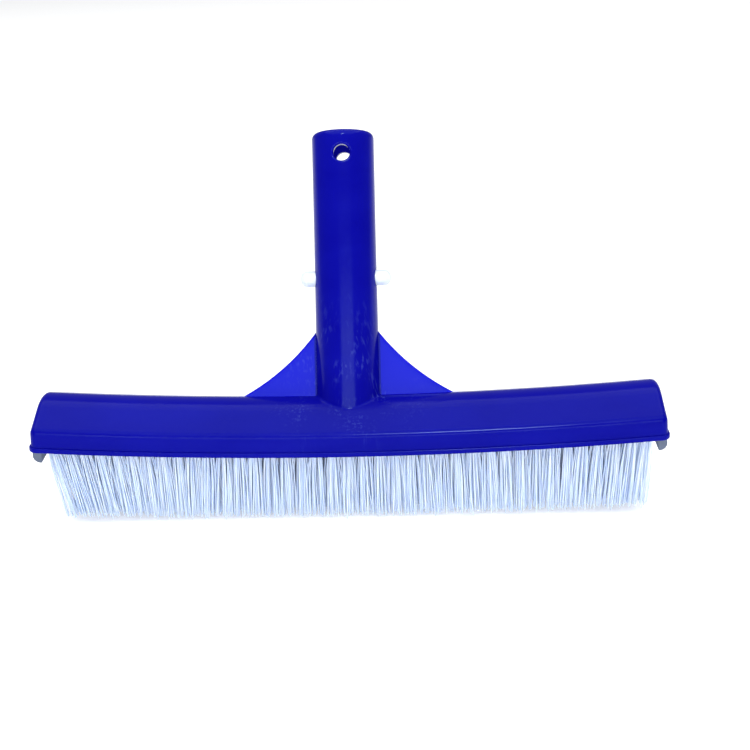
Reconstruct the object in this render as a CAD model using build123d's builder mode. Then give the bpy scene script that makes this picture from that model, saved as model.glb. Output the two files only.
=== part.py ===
"""Pool wall brush: a curved, tufted head with a spigot that snaps into a telescopic pole.

Millimetres and degrees. +X runs along the head, +Y is the rear, where the spigot leans, and
+Z is up. The brush stands on its bristle tips, with the origin under the middle of its box.
Along the head, places are arc lengths at the rim from the middle, and heights are above the
rim, towards the centre of the head's curve.
"""

import os
from math import acos, asin, atan2, cos, degrees, hypot, radians, sin

from build123d import *

# Head shell
head_length = 270.0
head_depth = 42.5
end_sag = 5.0  # how far the ends of the rim rise above its middle
rim_height = 29.5  # the rim's middle above the bristle tips
wall_height = 9.8
crown_rise = 9.2
ridge_radius = 20.0
shoulder_radius = 3.2
end_radius = 2.8
shell_wall = 2.6
cavity_floor = -12.0  # the cavity is cut from well below the rim
bead_height = 2.3
bead_proud = 0.8
bead_round = 0.6

# Spigot, leaning back from the ridge
spigot_lean = 22.0
spigot_offset = 8.8  # its axis behind the ridge, at the height of the crown's corner
spigot_length = 110.4
spigot_foot_radius = 13.75
spigot_root = 12.0  # how far it runs down into the crown
spigot_wall = 3.4
pole_land_radius = 13.5
pole_land_length = 48.0
nose_radius = 2.9
mouth_round = 0.4
bore_floor = -1.0
spigot_from = 26.0  # the head keeps the spigot's foot up to this level
foot_fillet = 1.2
bolt_hole_radius = 3.5
bolt_hole_from_mouth = 10.2
bolt_hole_round = 0.8
on_rim_within = 0.05  # how near the bolt hole's radius its rim edges lie

# Webs between the spigot and the crown
web_thickness = 3.8
web_top = 24.3
web_start = 13.4
web_reach = 47.5
web_foot = -4.0
web_root = -8.0
web_arc_radius = 98.0
web_edge_round = 0.9

# Spring clip inside the spigot
button_radius = 3.5
button_height = 6.0  # above the spigot's foot radius
button_level = 47.3
button_hole_radius = 4.5
clip_half_width = 9.1
clip_strip = 1.8
clip_depth = 8.0
arm_lever = 38.0
arm_beyond_button = 5.0
arm_end_round = 0.7
button_round = 3.2
knuckle_gap = 0.15

# Brush block
block_gap = 0.2
block_recess = 0.4
block_top = 7.3
guard_drop = 6.2
guard_outer = 134.1
guard_inner = 130.4
guard_neck = 128.9
guard_neck_drop = 1.8
guard_radius = 3.2
guard_half_depth = 18.0
guard_seat = 0.05  # the guards' tops stop this far below the rim

# Tufts, in staggered rows
row_names = ("front_edge", "front", "middle", "rear", "rear_edge")
row_spacing = 7.6
columns = 39
end_column = 126.3
hole_radius = 2.2
hole_depth = 6.0
tuft_radius = 2.15
tuft_root = 5.8
tuft_neck_radius = 1.9
tuft_neck_depth = 0.3
tuft_tip_radius = 2.6
fan_per_mm = 0.4  # degrees of lean for each millimetre from the middle row
end_lean_from = 60.0
left_end_lean = 18.0
right_end_lean = 11.5
trim_sag = 2.9  # how far the trimmed tips rise at the ends
anchor_size = (5.2, 0.5, 2.2)  # along the head, across it, and into the hole
anchor_depth = 3.0

# Screws that hold the block in the shell, between the tufts
screw_columns = (-16.5, -11.5, -3.5, 3.5, 11.5, 16.5)
screw_row = 3.07  # as far from the holes of one row as from those of the next
screw_head_radius = 1.85
screw_head_angle = 90
screw_shank_radius = 1.0
screw_length = 12.7
screw_clearance_radius = 1.2
screw_sink_radius = 1.95
screw_sunk = 0.3  # the heads lie this far inside the block's underside
screw_point = 1.5
screw_point_radius = 0.3
screw_recess = (2.2, 0.6, 0.7)  # each slot of the cross: length, width and depth
boss_radius = 3.3
boss_top = 15.5
pilot_top = 13.6

# Worked out
half_depth = head_depth / 2
bow_radius = (head_length**2 / 4 + end_sag**2) / (2 * end_sag)
ridge_height = wall_height + crown_rise
crown_slope = atan2(crown_rise, half_depth)
column_pitch = 2 * end_column / (columns - 1)
lean_sin = sin(radians(spigot_lean))
lean_cos = cos(radians(spigot_lean))
mouth_reach = (
    spigot_offset
    + (spigot_length - nose_radius) * lean_sin
    + (pole_land_radius - nose_radius) * lean_cos
    + nose_radius
)
head_y = -(mouth_reach - half_depth - bead_proud) / 2
bow_axis = Axis((0, head_y, rim_height + bow_radius), (0, -1, 0))
bore_radius = pole_land_radius - spigot_wall
rim_end = bow_radius * asin(head_length / 2 / bow_radius)
shell_end = rim_end - bead_proud
cavity_end = shell_end - shell_wall
screw_sink = screw_head_radius - screw_shank_radius
block_half_depth = half_depth - shell_wall - block_gap
block_end = cavity_end - block_gap
hinge_x = clip_half_width - clip_strip / 2
hinge_level = button_level - arm_lever
above_plane = (Align.CENTER, Align.CENTER, Align.MAX)
below_plane = (Align.CENTER, Align.CENTER, Align.MIN)

# The spigot's own frame, with z up its axis and x along the head, and its middle plane,
# with x along the head and y up the spigot's axis
spigot_origin = Vector(0, head_y + spigot_offset, rim_height + ridge_height)
spigot_up = Vector(0, lean_sin, lean_cos)
spigot_front = Vector(0, -lean_cos, lean_sin)
spigot_axis = Axis(spigot_origin, spigot_up)
middle_plane = Plane(spigot_origin, x_dir=(1, 0, 0), z_dir=spigot_front)
bolt_centre = spigot_origin + spigot_up * (spigot_length - bolt_hole_from_mouth)
bolt_plane = Plane(bolt_centre, x_dir=(1, 0, 0), z_dir=spigot_front)


def bow_point(along, across, height):
    """The point at this arc length along the rim, across the head, and above the rim."""
    turn = along / bow_radius
    reach = bow_radius - height
    return (reach * sin(turn), head_y + across, rim_height + bow_radius - reach * cos(turn))


def section_plane(along):
    """A section of the head: x is to the rear, y is up and z runs along the head."""
    turn = along / bow_radius
    return Plane(bow_point(along, 0, 0), x_dir=(0, 1, 0), z_dir=(cos(turn), 0, sin(turn)))


def down_plane(along, across, height, lean=0, fan=0):
    """On the head with z pointing out of its underside, leant along the head and fanned across it."""
    turn = along / bow_radius
    plane = Plane(
        bow_point(along, across, height),
        x_dir=(cos(turn), 0, sin(turn)),
        z_dir=(sin(turn), 0, -cos(turn)),
    )
    return plane.rotated((fan, -lean, 0))


def along_plane(along, side):
    """Upright along the head: x points to this side's end, y is up."""
    turn = side * along / bow_radius
    return Plane(
        bow_point(side * along, 0, 0),
        x_dir=(side * cos(turn), 0, side * sin(turn)),
        z_dir=(0, -side, 0),
    )


def spigot_plane(level):
    """Square to the spigot's axis at this level."""
    return Plane(spigot_origin + spigot_up * level, x_dir=(1, 0, 0), z_dir=spigot_up)


def side_plane(level, side, reach=0):
    """On the spigot's axis at this level, or out from it, with z pointing to this side."""
    origin = spigot_origin + spigot_up * level + Vector(side * reach, 0, 0)
    return Plane(origin, x_dir=spigot_up, z_dir=(side, 0, 0))


def on_bolt_rim(edge):
    """Is this edge where the bolt hole breaks the spigot's outside?"""
    spot = bolt_plane.to_local_coords(edge @ 0.5)
    on_wall = abs(hypot(spot.X, spot.Y) - bolt_hole_radius) < on_rim_within
    return on_wall and abs(spot.Z) > bore_radius + spigot_wall / 2


def crown_section(end, inset, bottom):
    """The crown's outline at the left end, inset from the outside, down to this height."""
    outer = half_depth - inset
    drop = inset / cos(crown_slope)
    peak = ridge_height - drop
    shoulder = peak - outer * crown_rise / half_depth
    with BuildSketch(section_plane(-end)) as section:
        with BuildLine():
            Polyline(
                (-outer, bottom),
                (-outer, shoulder),
                (0, peak),
                (outer, shoulder),
                (outer, bottom),
                close=True,
            )
        make_face()
        fillet(section.vertices().sort_by(Axis.Y)[-1], ridge_radius - inset)
        shoulders = section.vertices().filter_by_position(Axis.Y, shoulder - 0.01, shoulder + 0.01)
        fillet(shoulders, max(shoulder_radius - inset, mouth_round))
    return section.sketch


def sweep_degrees(end):
    """How far the section at one end turns to reach the other."""
    return degrees(2 * end / bow_radius)


def end_lean(along):
    """Tufts near the ends lean in towards the middle."""
    share = max(abs(along) - end_lean_from, 0) / (end_column - end_lean_from)
    return -right_end_lean * share if along > 0 else left_end_lean * share


def row_columns(row):
    """Arc lengths of a row's tufts: every other row is shifted by half a pitch."""
    count = columns - (row % 2)
    return [(i - (count - 1) / 2) * column_pitch for i in range(count)]


def free_length(along):
    """From the block's underside down to the trimmed tips, on the head's normal."""
    return rim_height + block_recess + (end_sag - trim_sag) * (along / (head_length / 2)) ** 2


def hole_planes(height):
    """Every tuft hole's axis, at this height above the rim."""
    return [
        down_plane(along, (row - 2) * row_spacing, height)
        for row in range(len(row_names))
        for along in row_columns(row)
    ]


def tuft_row(row):
    """A row of tufts: each fills its hole, is folded round its anchor, and flares to a trimmed tip."""
    across = (row - 2) * row_spacing
    fan = across * fan_per_mm
    with BuildPart() as tufts:
        for along in row_columns(row):
            lean = end_lean(along)
            slant = acos(cos(radians(lean)) * cos(radians(fan)))
            reach = free_length(along) + tuft_neck_depth - tuft_tip_radius * sin(slant)
            with Locations(down_plane(along, across, block_recess)):
                Cylinder(tuft_radius, tuft_root, align=above_plane)
            with Locations(down_plane(along, across, block_recess + tuft_neck_depth, lean, fan)):
                Cone(tuft_neck_radius, tuft_tip_radius, reach / cos(slant), align=below_plane)
            with Locations(down_plane(along, across, block_recess + anchor_depth)):
                Box(*anchor_size, align=above_plane, mode=Mode.SUBTRACT)
    return tufts


def clip_arm(side):
    """One arm of the clip, with its knuckle at the bow and its button at the spigot's hole."""
    arm_top = button_level + arm_beyond_button
    button_reach = spigot_foot_radius + button_height - hinge_x
    with BuildPart() as arm:
        with BuildSketch(middle_plane) as strip:
            with Locations((side * hinge_x, (hinge_level + arm_top) / 2)):
                Rectangle(clip_strip, arm_top - hinge_level)
            fillet(strip.vertices().group_by(Axis.Y)[-1], arm_end_round)
            with Locations((side * hinge_x, hinge_level)):
                Circle(clip_strip / 2)
        extrude(amount=clip_depth / 2, both=True)
        with BuildSketch(side_plane(button_level, side, hinge_x)):
            Circle(button_radius)
        extrude(amount=button_reach)
        crest = arm.edges().filter_by(GeomType.CIRCLE).sort_by(Axis.X)[-1 if side > 0 else 0]
        fillet(crest, button_round)
    return arm


screw_planes = [
    down_plane(column * column_pitch, screw_row * (-1) ** number, block_recess + screw_sunk)
    for number, column in enumerate(screw_columns)
]

# ---- Rim bead, part of the head's moulding ----
with BuildPart() as bead:
    with BuildSketch(section_plane(-rim_end)):
        with Locations((0, bead_height / 2)):
            Rectangle(head_depth + 2 * bead_proud, bead_height)
    revolve(axis=bow_axis, revolution_arc=sweep_degrees(rim_end))
    corners = bead.edges().filter_by(lambda edge: abs(edge.length - bead_height) < 0.05)
    fillet(corners, end_radius + bead_proud)
    rims = bead.faces().sort_by(SortBy.AREA)[-2:]
    fillet(rims.edges(), bead_round)

# ---- The moulding: shell, spigot and webs ----
with BuildPart() as moulding:
    revolve(
        crown_section(shell_end, 0, bead_round),
        axis=bow_axis,
        revolution_arc=sweep_degrees(shell_end),
    )
    caps = moulding.faces().sort_by(Axis.X)
    above_bead = rim_height + end_sag + bead_height
    cap_edges = caps[0].edges() + caps[-1].edges()
    fillet(cap_edges.filter_by(lambda edge: (edge @ 0.5).Z > above_bead), end_radius)
    # spigot, drafted below the straight land that guides the pole
    with BuildSketch(middle_plane):
        with BuildLine():
            Polyline(
                (0, -spigot_root),
                (spigot_foot_radius, -spigot_root),
                (spigot_foot_radius, 0),
                (pole_land_radius, spigot_length - pole_land_length),
                (pole_land_radius, spigot_length),
                (0, spigot_length),
                close=True,
            )
        make_face()
    revolve(axis=spigot_axis)
    curves = moulding.edges().filter_by(GeomType.BSPLINE)
    foot = curves.filter_by(
        lambda edge: edge.length > foot_fillet and abs((edge @ 0.5).X) < 2 * spigot_foot_radius
    )
    fillet(foot, foot_fillet)
    # webs
    for side in (-1, 1):
        with BuildSketch(middle_plane):
            with BuildLine():
                Polyline(
                    (side * web_reach, web_foot),
                    (side * web_reach, web_root),
                    (0, web_root),
                    (0, web_top),
                    (side * web_start, web_top),
                )
                RadiusArc(
                    (side * web_start, web_top),
                    (side * web_reach, web_foot),
                    -side * web_arc_radius,
                )
            make_face()
        extrude(amount=web_thickness / 2, both=True)
    arcs = moulding.edges().filter_by(GeomType.CIRCLE)
    fillet(arcs.filter_by(lambda edge: abs(edge.radius - web_arc_radius) < 0.01), web_edge_round)
    add(bead.part)
    # cavity under the crown
    revolve(
        crown_section(cavity_end, shell_wall, cavity_floor),
        axis=bow_axis,
        revolution_arc=sweep_degrees(cavity_end),
        mode=Mode.SUBTRACT,
    )
    # screw bosses and their pilot holes
    for number, column in enumerate(screw_columns):
        across = screw_row * (-1) ** number
        with BuildSketch(down_plane(column * column_pitch, across, boss_top)):
            Circle(boss_radius)
        extrude(amount=boss_top - block_top)
        with BuildSketch(down_plane(column * column_pitch, across, pilot_top)):
            Circle(screw_shank_radius)
        extrude(amount=pilot_top - block_top, mode=Mode.SUBTRACT)
    # bore, mouth, bolt hole and button holes
    with BuildSketch(spigot_plane(bore_floor)):
        Circle(bore_radius)
    extrude(amount=spigot_length - bore_floor, mode=Mode.SUBTRACT)
    rings = moulding.edges().filter_by(GeomType.CIRCLE)
    mouth = rings.sort_by(spigot_axis)[-2:].sort_by(SortBy.RADIUS)
    fillet(mouth[-1], nose_radius)
    fillet(mouth[0], mouth_round)
    with BuildSketch(bolt_plane):
        Circle(bolt_hole_radius)
    extrude(amount=2 * pole_land_radius, both=True, mode=Mode.SUBTRACT)
    fillet(moulding.edges().filter_by(on_bolt_rim), bolt_hole_round)
    with BuildSketch(side_plane(button_level, 1)):
        Circle(button_hole_radius)
    extrude(amount=2 * pole_land_radius, both=True, mode=Mode.SUBTRACT)

# ---- The moulding as two solids: the head with the spigot's foot, and the spigot above it ----
with BuildPart() as head_shell:
    add(moulding.part)
    split(bisect_by=spigot_plane(spigot_from), keep=Keep.BOTTOM)

with BuildPart() as spigot:
    add(moulding.part)
    split(bisect_by=spigot_plane(spigot_from), keep=Keep.TOP)

# ---- Brush block: drilled slab with a guard below the rim at each end ----
with BuildPart() as brush_block:
    with BuildSketch(section_plane(-block_end)):
        with Locations((0, (block_top + block_recess) / 2)):
            Rectangle(2 * block_half_depth, block_top - block_recess)
    revolve(axis=bow_axis, revolution_arc=sweep_degrees(block_end))
    for side in (-1, 1):
        with BuildSketch(along_plane(guard_outer, side)) as guard:
            with BuildLine():
                Polyline(
                    (0, -guard_seat),
                    (0, -guard_drop),
                    (guard_inner - guard_outer, -guard_drop),
                    (guard_inner - guard_outer, -guard_neck_drop),
                    (guard_neck - guard_outer, block_recess),
                    (guard_neck - guard_outer, block_top / 2),
                    (block_end - guard_outer, block_top / 2),
                    (block_end - guard_outer, -guard_seat),
                    close=True,
                )
            make_face()
            fillet(guard.vertices().group_by(Axis.Y)[0].sort_by(Axis.X)[-1], guard_radius)
        extrude(amount=guard_half_depth, both=True)
    with Locations(*hole_planes(block_recess)):
        Hole(hole_radius, hole_depth)
    with Locations(*hole_planes(block_recess + anchor_depth)):
        Box(*anchor_size, align=above_plane, mode=Mode.SUBTRACT)
    with Locations(*screw_planes):
        CounterSinkHole(screw_clearance_radius, screw_sink_radius, counter_sink_angle=screw_head_angle)

# ---- Tufts, one node for each row ----
tuft_rows = [tuft_row(row) for row in range(len(row_names))]

# ---- Tuft anchors: a flat wire in the bottom of each hole ----
with BuildPart() as tuft_anchors:
    with Locations(*hole_planes(block_recess + anchor_depth)):
        Box(*anchor_size, align=above_plane)

# ---- Block screws ----
with BuildPart() as block_screws:
    with Locations(*screw_planes):
        Cylinder(screw_shank_radius, screw_length - screw_point, align=above_plane)
        Cone(screw_shank_radius, screw_head_radius, screw_sink, align=above_plane)
        for turn in (0, 90):
            Box(*screw_recess, rotation=(0, 0, turn), align=above_plane, mode=Mode.SUBTRACT)
    with Locations(*[plane.offset(screw_point - screw_length) for plane in screw_planes]):
        Cone(screw_point_radius, screw_shank_radius, screw_point, align=above_plane)

# ---- Spring clip: a bow low in the bore and an arm up each side ----
with BuildPart() as clip_bow:
    with BuildSketch(middle_plane):
        with Locations((0, hinge_level)):
            Circle(clip_half_width)
            Circle(clip_half_width - clip_strip, mode=Mode.SUBTRACT)
        with Locations((0, hinge_level + clip_half_width)):
            Rectangle(2 * clip_half_width, 2 * clip_half_width, mode=Mode.SUBTRACT)
        with Locations((-hinge_x, hinge_level), (hinge_x, hinge_level)):
            Circle(clip_strip / 2 + knuckle_gap, mode=Mode.SUBTRACT)
    extrude(amount=clip_depth / 2, both=True)

clip_arms = [clip_arm(side) for side in (-1, 1)]

nodes = {
    "head_shell": head_shell,
    "spigot": spigot,
    "brush_block": brush_block,
    "tuft_anchors": tuft_anchors,
    "block_screws": block_screws,
    "clip_bow": clip_bow,
    "left_clip_arm": clip_arms[0],
    "right_clip_arm": clip_arms[1],
}
for row_name, row_part in zip(row_names, tuft_rows):
    nodes[row_name + "_tufts"] = row_part

os.makedirs("parts", exist_ok=True)
for node_name, node in nodes.items():
    node.part.label = node_name
    export_step(node.part, f"parts/{node_name}.step")
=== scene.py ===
"""The looks of the pool wall brush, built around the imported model.

Metres, in the model's own frame: +X runs along the head, +Y is the rear and +Z is up.
The moulded pieces keep their shapes and get their plastics. The tufts, which are plain cones in
the model, are replaced by bundles of separate filaments.
"""

from math import cos, pi, radians, sin, sqrt

import bmesh
import bpy
import numpy as np
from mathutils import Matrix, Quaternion, Vector


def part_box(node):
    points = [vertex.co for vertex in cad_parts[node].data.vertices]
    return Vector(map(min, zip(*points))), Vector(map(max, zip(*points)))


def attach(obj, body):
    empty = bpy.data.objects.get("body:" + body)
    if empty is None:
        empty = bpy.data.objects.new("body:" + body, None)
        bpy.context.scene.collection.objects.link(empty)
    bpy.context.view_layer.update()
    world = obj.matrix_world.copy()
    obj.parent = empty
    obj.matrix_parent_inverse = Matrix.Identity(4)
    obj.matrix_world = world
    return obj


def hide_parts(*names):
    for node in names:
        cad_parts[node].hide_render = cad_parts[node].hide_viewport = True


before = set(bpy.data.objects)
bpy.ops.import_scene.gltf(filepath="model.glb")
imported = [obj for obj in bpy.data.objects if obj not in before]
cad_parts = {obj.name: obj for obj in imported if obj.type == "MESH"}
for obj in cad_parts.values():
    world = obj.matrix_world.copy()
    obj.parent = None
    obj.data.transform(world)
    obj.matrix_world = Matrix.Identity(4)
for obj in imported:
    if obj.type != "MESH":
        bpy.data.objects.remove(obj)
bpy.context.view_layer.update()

# Camera
CAMERA_PLACE = Vector((0.0308, -0.5325, 0.2736))
CAMERA_AIM = Vector((0.0121, -0.0199, 0.0576))
CAMERA_ROLL = radians(-2.08)
CAMERA_LENS = 62.6

# Filaments
FILAMENTS = 44  # in each tuft, as the record's mass counts them
FILAMENT_RADIUS = 0.000225
FILAMENT_SIDES = 6
FILAMENT_RINGS = 8
TUFT_ROOT = 0.0058  # how deep a tuft sits in its hole
ROOT_DEPTH = 0.0015  # how far the filaments start inside the block
ROOT_SPREAD = 0.0021
TIP_SPREAD = 1.35  # the outermost tips, as a share of the tuft's own tip radius
SPLAY_LEVEL = 0.2  # how far down the filaments finish splaying, as a share of their length
SPLAY_SHARE = 0.95  # how much of their spread they have by then
TIP_WANDER = 0.0008
TRIM_WANDER = 0.0009
BOW_WANDER = 0.0007
STRAY_SHARE = 0.08
STRAY_WANDER = 0.0024
STRAY_BOW = 2.5  # how much more a stray filament bows than the others
FLOOR_GAP = 0.0001
GOLDEN_ANGLE = pi * (3 - sqrt(5))
WELD_DISTANCE = 1e-6
ROOT_FACE = 0.0005  # a tuft's points within this of its top are its root
TIP_RING = 0.0032  # and those within this of its bottom are its tip
TUFT_NODES = ("front_edge_tufts", "front_tufts", "middle_tufts", "rear_tufts", "rear_edge_tufts")

# Scuffs, round a place at the front of the spigot's foot
SCUFF_FORWARD = 0.008  # from the middle of the clip's bow
SCUFF_DROP = 0.004  # below the top of it
SCUFF_INNER = 0.008
SCUFF_OUTER = 0.040

# Webs, which lie in the spigot's own leaning plane, on both sides of it, painted a brighter blue as
# painted light
SPIGOT_LEAN = radians(22.0)
WEB_FROM = 0.0141
WEB_TO = 0.0475
WEB_HALF_THICKNESS = 0.0020
WEB_FADE = 0.0004

# Stage
FLOOR_SIZE = 12.0
TABLE_GLOW = 0.3  # the table is a backlit sheet, so the object throws hardly any shadow
LAMPS_AIM_HEIGHT = 0.06
WORLD_COLOUR = (0.95, 0.97, 1.0, 1.0)
WORLD_STRENGTH = 0.35


# ---- Node helpers ----
def new_material(name):
    """A material with one Principled shader, and its links, nodes and shader."""
    material = bpy.data.materials.new(name)
    material.use_nodes = True
    nodes = material.node_tree.nodes
    return material, nodes, material.node_tree.links, nodes["Principled BSDF"]


def object_noise(nodes, links, scale, stretch=(1, 1, 1), detail=2.0):
    """Noise in the object's own coordinates, so it stays on the surface. Scale is in 1/metres."""
    place = nodes.new("ShaderNodeTexCoord")
    mapping = nodes.new("ShaderNodeMapping")
    mapping.inputs["Scale"].default_value = stretch
    noise = nodes.new("ShaderNodeTexNoise")
    noise.inputs["Scale"].default_value = scale
    noise.inputs["Detail"].default_value = detail
    links.new(place.outputs["Object"], mapping.inputs["Vector"])
    links.new(mapping.outputs["Vector"], noise.inputs["Vector"])
    return noise.outputs["Fac"]


def remapped(nodes, links, value, low, high, to_low, to_high):
    """The value, with low to high stretched to to_low to to_high and held there beyond."""
    remap = nodes.new("ShaderNodeMapRange")
    remap.inputs["From Min"].default_value = low
    remap.inputs["From Max"].default_value = high
    remap.inputs["To Min"].default_value = to_low
    remap.inputs["To Max"].default_value = to_high
    links.new(value, remap.inputs["Value"])
    return remap.outputs["Result"]


def product(nodes, links, first, second):
    """One value times another."""
    multiply = nodes.new("ShaderNodeMath")
    multiply.operation = "MULTIPLY"
    links.new(first, multiply.inputs[0])
    links.new(second, multiply.inputs[1])
    return multiply.outputs["Value"]


def mixed(nodes, links, share, first, second):
    """A colour between two, either of which is a colour or another node's output."""
    mix = nodes.new("ShaderNodeMix")
    mix.data_type = "RGBA"
    links.new(share, mix.inputs["Factor"])
    for socket, colour in ((mix.inputs[6], first), (mix.inputs[7], second)):
        if isinstance(colour, tuple):
            socket.default_value = (*colour, 1.0)
        else:
            links.new(colour, socket)
    return mix.outputs[2]


def bumped(nodes, links, shader, height, distance, strength):
    """Gives the shader a bump of this height."""
    bump = nodes.new("ShaderNodeBump")
    bump.inputs["Distance"].default_value = distance
    bump.inputs["Strength"].default_value = strength
    links.new(height, bump.inputs["Height"])
    links.new(bump.outputs["Normal"], shader.inputs["Normal"])


def near(nodes, links, point, inner, outer):
    """1 within inner of a point, falling to 0 at outer."""
    place = nodes.new("ShaderNodeTexCoord")
    distance = nodes.new("ShaderNodeVectorMath")
    distance.operation = "DISTANCE"
    distance.inputs[1].default_value = point
    links.new(place.outputs["Object"], distance.inputs[0])
    return remapped(nodes, links, distance.outputs["Value"], inner, outer, 1.0, 0.0)


def painted_web_light_mask(nodes, links, spigot_middle):
    """1 on the two thin webs, where the blue gets painted light, 0 elsewhere. Spigot_middle is any point
    on the spigot's axis.
    """
    place = nodes.new("ShaderNodeTexCoord")
    parts = nodes.new("ShaderNodeSeparateXYZ")
    side = nodes.new("ShaderNodeMath")
    side.operation = "ABSOLUTE"
    links.new(place.outputs["Object"], parts.inputs["Vector"])
    links.new(parts.outputs["X"], side.inputs[0])
    beside = remapped(nodes, links, side.outputs["Value"], WEB_FROM, WEB_FROM + WEB_FADE, 0.0, 1.0)
    reached = remapped(nodes, links, side.outputs["Value"], WEB_TO, WEB_TO + WEB_FADE, 1.0, 0.0)
    offset = nodes.new("ShaderNodeVectorMath")
    offset.operation = "SUBTRACT"
    offset.inputs[1].default_value = spigot_middle
    links.new(place.outputs["Object"], offset.inputs[0])
    depth = nodes.new("ShaderNodeVectorMath")
    depth.operation = "DOT_PRODUCT"
    depth.inputs[1].default_value = (0.0, -cos(SPIGOT_LEAN), sin(SPIGOT_LEAN))
    links.new(offset.outputs["Vector"], depth.inputs[0])
    off_plane = nodes.new("ShaderNodeMath")
    off_plane.operation = "ABSOLUTE"
    links.new(depth.outputs["Value"], off_plane.inputs[0])
    edge = WEB_HALF_THICKNESS + WEB_FADE
    level = remapped(nodes, links, off_plane.outputs["Value"], WEB_HALF_THICKNESS, edge, 1.0, 0.0)
    return product(nodes, links, product(nodes, links, beside, reached), level)


# ---- Materials ----
def blue_plastic(scuff_place, spigot_middle):
    """Glossy royal-blue moulded plastic with flow marks, orange peel and pale scuffs, and webs painted a
    brighter blue as painted light.
    """
    material, nodes, links, shader = new_material("blue_plastic")
    flow = object_noise(nodes, links, 22.0, (1.0, 1.0, 2.5), 3.0)
    flow_share = remapped(nodes, links, flow, 0.3, 0.7, 0.0, 1.0)
    flow_marked_blue = mixed(nodes, links, flow_share, (0.0016, 0.0012, 0.225), (0.0028, 0.0030, 0.262))
    # the webs get a brighter blue, painted light for the lamps falling on them
    body = mixed(nodes, links, painted_web_light_mask(nodes, links, spigot_middle), flow_marked_blue, (0.0050, 0.0060, 0.50))
    streaks = object_noise(nodes, links, 90.0, (9.0, 9.0, 0.9), 4.0)
    patches = object_noise(nodes, links, 70.0, (1.0, 1.0, 1.0), 2.0)
    scuffs = product(
        nodes,
        links,
        remapped(nodes, links, streaks, 0.52, 0.72, 0.0, 1.0),
        remapped(nodes, links, patches, 0.46, 0.62, 0.0, 1.0),
    )
    worn = product(nodes, links, scuffs, near(nodes, links, scuff_place, SCUFF_INNER, SCUFF_OUTER))
    worn_share = remapped(nodes, links, worn, 0.0, 1.0, 0.0, 0.30)
    links.new(mixed(nodes, links, worn_share, body, (0.10, 0.14, 0.48)), shader.inputs["Base Color"])
    gloss = object_noise(nodes, links, 55.0, (1.0, 1.0, 1.0), 4.0)
    links.new(remapped(nodes, links, gloss, 0.3, 0.7, 0.12, 0.21), shader.inputs["Roughness"])
    bumped(nodes, links, shader, object_noise(nodes, links, 480.0), 0.00008, 0.22)
    shader.inputs["Specular IOR Level"].default_value = 0.06
    shader.inputs["Specular Tint"].default_value = (0.62, 0.86, 1.0, 1.0)
    return material


def gray_plastic():
    """Satin blue-gray plastic with a fine moulded grain."""
    material, nodes, links, shader = new_material("gray_plastic")
    tone = remapped(nodes, links, object_noise(nodes, links, 160.0, detail=4.0), 0.3, 0.7, 0.0, 1.0)
    colour = mixed(nodes, links, tone, (0.075, 0.100, 0.160), (0.105, 0.135, 0.205))
    links.new(colour, shader.inputs["Base Color"])
    grain = object_noise(nodes, links, 1800.0, detail=3.0)
    links.new(remapped(nodes, links, grain, 0.3, 0.7, 0.42, 0.58), shader.inputs["Roughness"])
    bumped(nodes, links, shader, grain, 0.00006, 0.35)
    return material


def nylon():
    """Bluish-white nylon that lets a little light through, with tones that vary across the rows."""
    material, nodes, links, shader = new_material("nylon")
    strand = object_noise(nodes, links, 900.0, (1.0, 1.0, 0.03), 1.0)
    tone = remapped(nodes, links, strand, 0.32, 0.68, 0.0, 1.0)
    links.new(mixed(nodes, links, tone, (0.58, 0.71, 1.0), (0.74, 0.85, 1.0)), shader.inputs["Base Color"])
    links.new(remapped(nodes, links, strand, 0.3, 0.7, 0.24, 0.42), shader.inputs["Roughness"])
    shader.inputs["Subsurface Weight"].default_value = 0.25
    shader.inputs["Subsurface Radius"].default_value = (0.6, 0.8, 1.0)
    shader.inputs["Subsurface Scale"].default_value = 0.0008
    return material


def white_acetal():
    """Semi-gloss white plastic with a faint bluish mottle."""
    material, nodes, links, shader = new_material("white_acetal")
    tone = remapped(nodes, links, object_noise(nodes, links, 300.0, detail=3.0), 0.3, 0.7, 0.0, 1.0)
    colour = mixed(nodes, links, tone, (0.66, 0.75, 0.88), (0.80, 0.87, 0.96))
    links.new(colour, shader.inputs["Base Color"])
    bumped(nodes, links, shader, object_noise(nodes, links, 900.0), 0.00005, 0.2)
    shader.inputs["Roughness"].default_value = 0.3
    return material


def metal(name, dark, light, stretch):
    """Drawn or turned metal, with fine marks along it."""
    material, nodes, links, shader = new_material(name)
    marks = object_noise(nodes, links, 1500.0, stretch, 3.0)
    tone = remapped(nodes, links, marks, 0.3, 0.7, 0.0, 1.0)
    links.new(mixed(nodes, links, tone, dark, light), shader.inputs["Base Color"])
    links.new(remapped(nodes, links, marks, 0.3, 0.7, 0.22, 0.42), shader.inputs["Roughness"])
    shader.inputs["Metallic"].default_value = 1.0
    return material


def floor_paper():
    """White paper on a backlit table."""
    material, nodes, links, shader = new_material("floor_paper")
    tone = remapped(nodes, links, object_noise(nodes, links, 40.0), 0.3, 0.7, 0.0, 1.0)
    colour = mixed(nodes, links, tone, (0.90, 0.90, 0.90), (0.91, 0.91, 0.91))
    links.new(colour, shader.inputs["Base Color"])
    shader.inputs["Roughness"].default_value = 0.9
    shader.inputs["Specular IOR Level"].default_value = 0.1
    shader.inputs["Emission Color"].default_value = (1.0, 1.0, 1.0, 1.0)
    shader.inputs["Emission Strength"].default_value = TABLE_GLOW
    return material


def paint(node, material):
    """Gives a CAD node this material in all its slots."""
    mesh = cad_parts[node].data
    mesh.materials.clear()
    mesh.materials.append(material)


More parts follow.
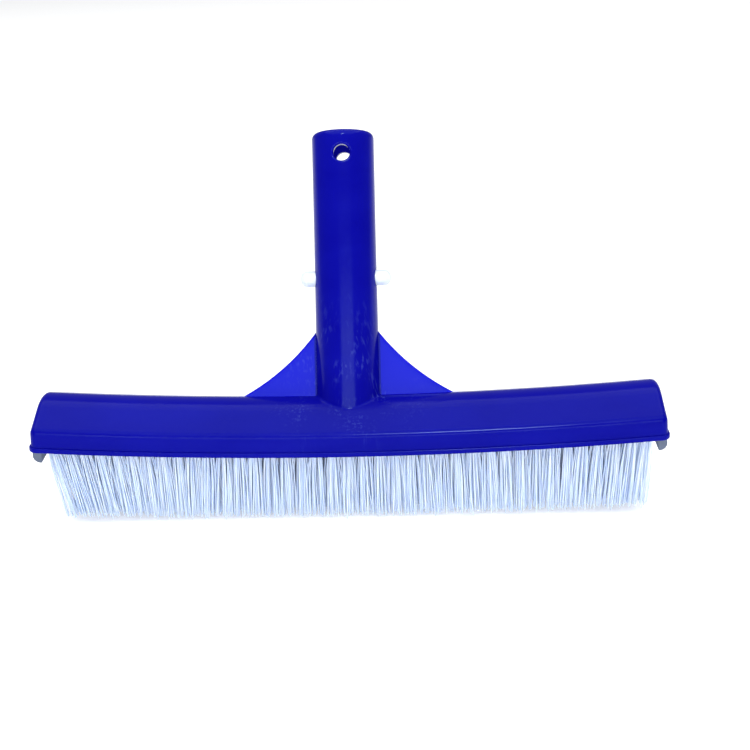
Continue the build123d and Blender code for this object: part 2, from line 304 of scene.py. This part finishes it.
# ---- Tufts ----
def tufts_of(node):
    """Each tuft of a node, as its root's middle, its tip's middle and its tip's radius."""
    bm = bmesh.new()
    bm.from_mesh(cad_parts[node].data)
    bmesh.ops.remove_doubles(bm, verts=bm.verts, dist=WELD_DISTANCE)
    unseen = set(bm.verts)
    found = []
    while unseen:
        start = unseen.pop()
        island = [start]
        for vert in island:
            for edge in vert.link_edges:
                other = edge.other_vert(vert)
                if other in unseen:
                    unseen.remove(other)
                    island.append(other)
        points = np.array([vert.co[:] for vert in island])
        heights = points[:, 2]
        root = points[heights > heights.max() - ROOT_FACE].mean(0)
        ring = points[heights < heights.min() + TIP_RING]
        tip = (ring.min(0) + ring.max(0)) / 2
        radius = np.linalg.norm(ring - tip, axis=1).max()
        found.append((root, tip, radius))
    bm.free()
    return sorted(found, key=lambda tuft: tuft[0][0])


def filament_lines(root, tip, tip_radius, underside, dice):
    """The middle lines of one tuft's filaments, FILAMENT_RINGS points each."""
    axis = (tip - root) / np.linalg.norm(tip - root)
    across = np.cross(axis, (1.0, 0.0, 0.0))
    across /= np.linalg.norm(across)
    along = np.cross(across, axis)
    start = root.copy()
    start[2] = underside + ROOT_DEPTH
    number = np.arange(FILAMENTS)
    share = np.sqrt((number + 0.5) / FILAMENTS)
    turn = number * GOLDEN_ANGLE + dice.uniform(0, 2 * pi)
    disc = np.stack([share * np.cos(turn), share * np.sin(turn)], 1)
    wander = dice.normal(0, TIP_WANDER, (FILAMENTS, 2))
    strays = dice.random(FILAMENTS) < STRAY_SHARE
    wander[strays] += dice.normal(0, STRAY_WANDER, (strays.sum(), 2))
    foot = disc * tip_radius * TIP_SPREAD + wander
    starts = start + disc[:, :1] * ROOT_SPREAD * along + disc[:, 1:] * ROOT_SPREAD * across
    ends = tip + foot[:, :1] * along + foot[:, 1:] * across
    level = tip[2] + np.abs(dice.normal(0, TRIM_WANDER, FILAMENTS)) - TRIM_WANDER / 2
    ends[:, 2] = np.maximum(level, FILAMENT_RADIUS + FLOOR_GAP)
    bow = dice.normal(0, BOW_WANDER, (FILAMENTS, 2))
    bow[strays] *= STRAY_BOW
    splayed = start + SPLAY_LEVEL * (tip - start) + SPLAY_SHARE * (ends - tip)
    middles = splayed + bow[:, :1] * along + bow[:, 1:] * across
    steps = np.linspace(0, 1, FILAMENT_RINGS)[None, :, None]
    return (
        (1 - steps) ** 2 * starts[:, None]
        + 2 * steps * (1 - steps) * middles[:, None]
        + steps**2 * ends[:, None]
    )


def filament_mesh(name, lines):
    """One mesh of closed tubes along these lines."""
    count = len(lines)
    tangents = np.gradient(lines, axis=1)
    tangents /= np.linalg.norm(tangents, axis=2, keepdims=True)
    side = np.cross(tangents, (1.0, 0.0, 0.0))
    side /= np.linalg.norm(side, axis=2, keepdims=True)
    other = np.cross(tangents, side)
    turns = np.arange(FILAMENT_SIDES) * 2 * pi / FILAMENT_SIDES
    ring = (
        np.cos(turns)[None, None, :, None] * side[:, :, None]
        + np.sin(turns)[None, None, :, None] * other[:, :, None]
    )
    verts = (lines[:, :, None] + FILAMENT_RADIUS * ring).reshape(-1, 3)
    per_tube = FILAMENT_RINGS * FILAMENT_SIDES
    faces = []
    for tube in range(count):
        base = tube * per_tube
        for level in range(FILAMENT_RINGS - 1):
            low = base + level * FILAMENT_SIDES
            for k in range(FILAMENT_SIDES):
                after = (k + 1) % FILAMENT_SIDES
                high = low + FILAMENT_SIDES
                faces.append((low + k, low + after, high + after, high + k))
        faces.append(tuple(base + k for k in reversed(range(FILAMENT_SIDES))))
        last = base + (FILAMENT_RINGS - 1) * FILAMENT_SIDES
        faces.append(tuple(last + k for k in range(FILAMENT_SIDES)))
    mesh = bpy.data.meshes.new(name)
    mesh.from_pydata(verts.tolist(), [], faces)
    mesh.polygons.foreach_set("use_smooth", [len(face) == 4 for face in faces])
    mesh.update()
    return mesh


def bristle_row(node, seed, material):
    """The filaments of a row of tufts, in place of the model's cones."""
    dice = np.random.default_rng(seed)
    lines = []
    for root, tip, radius in tufts_of(node):
        # the underside is this far below the tuft's own root, whatever the head's curve
        underside = root[2] - TUFT_ROOT
        lines.append(filament_lines(root, tip, radius, underside, dice))
    name = node.replace("_tufts", "_bristles")
    bristles = bpy.data.objects.new(name, filament_mesh(name, np.concatenate(lines)))
    bpy.context.scene.collection.objects.link(bristles)
    bristles.data.materials.append(material)
    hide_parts(node)
    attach(bristles, "brush")


# ---- The object ----
head_low, head_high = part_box("head_shell")
spigot_low, spigot_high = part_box("spigot")
bow_low, bow_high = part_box("clip_bow")
head_middle = (head_low.y + head_high.y) / 2
scuff_point = Vector((0.0, (bow_low.y + bow_high.y) / 2 - SCUFF_FORWARD, bow_high.z - SCUFF_DROP))
blue = blue_plastic(scuff_point, (spigot_low + spigot_high) / 2)
white = white_acetal()
paint("head_shell", blue)
paint("spigot", blue)
paint("brush_block", gray_plastic())
paint("tuft_anchors", metal("brass_wire", (0.50, 0.35, 0.12), (0.68, 0.50, 0.20), (0.2, 1.0, 1.0)))
paint("block_screws", metal("steel", (0.46, 0.46, 0.48), (0.64, 0.64, 0.66), (1.0, 1.0, 0.2)))
for clip_node in ("clip_bow", "left_clip_arm", "right_clip_arm"):
    paint(clip_node, white)
nylon_material = nylon()
for row, tuft_node in enumerate(TUFT_NODES):
    bristle_row(tuft_node, row + 1, nylon_material)

# ---- Stage ----
floor_mesh = bpy.data.meshes.new("floor")
half = FLOOR_SIZE / 2
floor_mesh.from_pydata(
    [(-half, -half, 0), (half, -half, 0), (half, half, 0), (-half, half, 0)], [], [(0, 1, 2, 3)]
)
floor = bpy.data.objects.new("floor", floor_mesh)
floor_mesh.materials.append(floor_paper())
bpy.context.scene.collection.objects.link(floor)


def softbox(name, place, aim, size, power):
    """A soft rectangular light at a place, pointing at another."""
    light = bpy.data.lights.new(name, "AREA")
    light.shape = "RECTANGLE"
    light.size, light.size_y = size
    light.energy = power
    lamp = bpy.data.objects.new(name, light)
    lamp.location = place
    lamp.rotation_mode = "QUATERNION"
    lamp.rotation_quaternion = (Vector(aim) - Vector(place)).to_track_quat("-Z", "Y")
    bpy.context.scene.collection.objects.link(lamp)
    return lamp


middle = (0.0, head_middle, LAMPS_AIM_HEIGHT)
softbox("overhead", place=(0.0, 0.0, 1.6), aim=middle, size=(2.6, 2.6), power=46.0)
softbox("front", place=(0.1, -1.6, 0.55), aim=middle, size=(1.4, 0.5), power=15.0)
# the strip only glints in the glossy edges, and throws no shadow
strip = softbox("strip", place=(0.06, -0.75, 1.15), aim=middle, size=(0.10, 0.06), power=9.0)
strip.visible_diffuse = False

world = bpy.data.worlds.new("studio")
bpy.context.scene.world = world
world.use_nodes = True
world.node_tree.nodes["Background"].inputs["Color"].default_value = WORLD_COLOUR
world.node_tree.nodes["Background"].inputs["Strength"].default_value = WORLD_STRENGTH

# ---- Camera ----
lens = bpy.data.cameras.new("camera")
lens.lens = CAMERA_LENS
camera = bpy.data.objects.new("camera", lens)
camera.location = CAMERA_PLACE
camera.rotation_mode = "QUATERNION"
sight = (CAMERA_AIM - CAMERA_PLACE).to_track_quat("-Z", "Y")
camera.rotation_quaternion = sight @ Quaternion((0, 0, 1), CAMERA_ROLL)
bpy.context.scene.collection.objects.link(camera)
bpy.context.scene.camera = camera
bpy.context.scene.view_settings.view_transform = "Standard"
